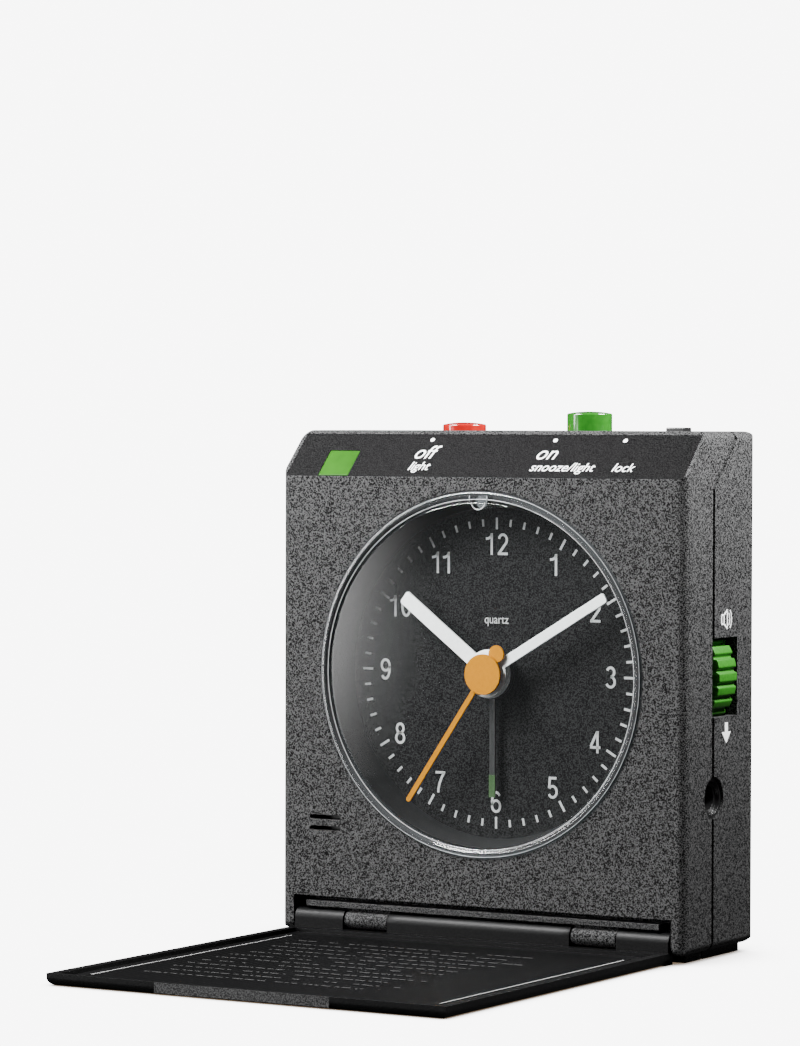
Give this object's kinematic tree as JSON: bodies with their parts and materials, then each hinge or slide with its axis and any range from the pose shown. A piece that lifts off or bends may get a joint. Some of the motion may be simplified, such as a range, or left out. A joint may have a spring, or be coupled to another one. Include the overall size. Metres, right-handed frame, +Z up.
{
  "type": "travel alarm clock",
  "caption": "Pocket-size travel alarm clock: square case with a round dial, a hinged cover that folds up over the front, top push buttons and a side volume wheel.",
  "frame": {"origin": "middle of the case's flat underside", "axes": "+X to the right seen from the front, +Y to the back, +Z up; the cover lies open towards -Y"},
  "size_m": [0.0708, 0.0901, 0.0815],
  "materials": {
    "case_front": "fine grain moulded",
    "case_rear": "fine grain moulded, satin paint",
    "strip": "satin inlay",
    "window_green": "gloss translucent",
    "crystal_clear": "polished clear",
    "ring_clear": "polished clear moulding",
    "black_plastic": "satin",
    "dial_black": "matt printed",
    "lamp": "clear lens",
    "movement_plastic": "moulded",
    "steel": "plain",
    "copper": "enamelled wire",
    "board": "lacquered board",
    "cell_wrap": "printed sleeve",
    "button_red": "polished",
    "button_green": "polished",
    "hand_yellow": "satin paint",
    "hand_white": "satin paint",
    "hand_black": "satin paint",
    "gear_plastic": "moulded",
    "wheel_green": "satin",
    "label_black": "satin, fine lines"
  },
  "bodies": {
    "case": {"front_shell": "case_front", "rear_shell": "case_rear", "control_strip": "strip", "alarm_window": "window_green", "crystal": "crystal_clear", "crystal_ring": "ring_clear", "dial_wall": "black_plastic", "dial_plate": "dial_black", "dial_lamp": "lamp", "movement_base": "movement_plastic", "movement_cover": "movement_plastic", "stator": "steel", "coil": "copper", "circuit_board": "board", "quartz_can": "steel", "ic_chip": "black_plastic", "speaker": "black_plastic", "battery": "cell_wrap", "battery_spring": "steel", "battery_contact": "steel", "case_screws": "steel", "movement_screws": "steel", "hinge_bracket": "black_plastic", "hinge_pins": "steel", "jack_socket": "black_plastic", "volume_pot": "black_plastic", "alarm_switch": "black_plastic", "light_switch": "black_plastic", "rocker_pin": "steel"},
    "cover": {"lid": "case_front", "lid_label": "label_black"},
    "seconds": {"second_hand": "hand_yellow", "seconds_wheel": "gear_plastic"},
    "minutes": {"minute_hand": "hand_white", "centre_wheel": "gear_plastic"},
    "hours": {"hour_hand": "hand_white", "hour_wheel": "gear_plastic"},
    "alarm": {"alarm_hand": "hand_black", "alarm_wheel": "gear_plastic"},
    "third": {"third_wheel": "gear_plastic"},
    "fifth": {"fifth_wheel": "gear_plastic"},
    "motor_rotor": {"rotor": "gear_plastic"},
    "motion": {"motion_wheel": "gear_plastic"},
    "time_setting": {"time_stem": "gear_plastic", "time_knob": "black_plastic"},
    "alarm_setting": {"alarm_stem": "gear_plastic", "alarm_knob": "black_plastic"},
    "red_button": {"off_button": "button_red"},
    "green_button": {"on_button": "button_green"},
    "rocker": {"button_rocker": "movement_plastic"},
    "lock": {"lock_slider": "black_plastic"},
    "volume": {"volume_wheel": "wheel_green"},
    "door": {"battery_door": "case_rear"}
  },
  "joints": [
    {"name": "cover_hinge", "type": "hinge", "parent": "case", "child": "cover", "pos_m": [0, -0.0103, 0.0032], "axis": [-1, 0, 0], "range_deg": [0, 90]},
    {"name": "second_hand_turn", "type": "hinge", "parent": "case", "child": "seconds", "pos_m": [0, -0.0026, 0.0417], "axis": [0, 1, 0], "continuous": true},
    {"name": "minute_hand_turn", "type": "hinge", "parent": "case", "child": "minutes", "pos_m": [0, -0.0046, 0.0417], "axis": [0, 1, 0], "continuous": true},
    {"name": "hour_hand_turn", "type": "hinge", "parent": "case", "child": "hours", "pos_m": [0, -0.0056, 0.0417], "axis": [0, 1, 0], "continuous": true},
    {"name": "alarm_hand_turn", "type": "hinge", "parent": "case", "child": "alarm", "pos_m": [0, -0.0056, 0.0417], "axis": [0, 1, 0], "continuous": true},
    {"name": "third_wheel_turn", "type": "hinge", "parent": "case", "child": "third", "pos_m": [0, -0.0006, 0.0489], "axis": [0, 1, 0], "continuous": true},
    {"name": "fifth_wheel_turn", "type": "hinge", "parent": "case", "child": "fifth", "pos_m": [0, 0.0004, 0.0345], "axis": [0, 1, 0], "continuous": true},
    {"name": "rotor_turn", "type": "hinge", "parent": "case", "child": "motor_rotor", "pos_m": [-0.00356, 0.0004, 0.03094], "axis": [0, 1, 0], "continuous": true},
    {"name": "motion_wheel_turn", "type": "hinge", "parent": "case", "child": "motion", "pos_m": [-0.00441, -0.0026, 0.03935], "axis": [0, 1, 0], "continuous": true},
    {"name": "time_knob_turn", "type": "hinge", "parent": "case", "child": "time_setting", "pos_m": [-0.00937, 0.0064, 0.0367], "axis": [0, 1, 0], "continuous": true},
    {"name": "alarm_knob_turn", "type": "hinge", "parent": "case", "child": "alarm_setting", "pos_m": [0.00675, 0.0064, 0.0367], "axis": [0, 1, 0], "continuous": true},
    {"name": "rocker_tilt", "type": "hinge", "parent": "case", "child": "rocker", "pos_m": [-0.0009, 0.0049, 0.0731], "axis": [0, 1, 0], "range_deg": [0, 8.86]},
    {"name": "on_button_press", "type": "slide", "parent": "case", "child": "green_button", "axis": [0, 0, 1], "range_m": [-0.0017, 0]},
    {"name": "off_button_press", "type": "slide", "parent": "case", "child": "red_button", "axis": [0, 0, 1], "range_m": [0, 0.0017]},
    {"name": "lock_slide", "type": "slide", "parent": "case", "child": "lock", "axis": [1, 0, 0], "range_m": [-0.0034, 0]},
    {"name": "volume_turn", "type": "hinge", "parent": "case", "child": "volume", "pos_m": [0.027, 0.0009, 0.0419], "axis": [0, 1, 0], "range_deg": [-135, 135]},
    {"name": "battery_door_off", "type": "slide", "parent": "case", "child": "door", "axis": [0, 1, 0], "range_m": [0, 0.012]}
  ],
  "couplings": [
    {"joint": "third_wheel_turn", "follows": "second_hand_turn", "ratio": -0.125},
    {"joint": "minute_hand_turn", "follows": "second_hand_turn", "ratio": 0.016667},
    {"joint": "motion_wheel_turn", "follows": "second_hand_turn", "ratio": -0.0055556},
    {"joint": "hour_hand_turn", "follows": "second_hand_turn", "ratio": 0.0013889},
    {"joint": "time_knob_turn", "follows": "second_hand_turn", "ratio": 0.011111},
    {"joint": "fifth_wheel_turn", "follows": "second_hand_turn", "ratio": -5},
    {"joint": "rotor_turn", "follows": "second_hand_turn", "ratio": 30},
    {"joint": "alarm_knob_turn", "follows": "alarm_hand_turn", "ratio": -1},
    {"joint": "on_button_press", "follows": "rocker_tilt", "m_per_rad": -0.01098},
    {"joint": "off_button_press", "follows": "rocker_tilt", "m_per_rad": 0.01098}
  ]
}
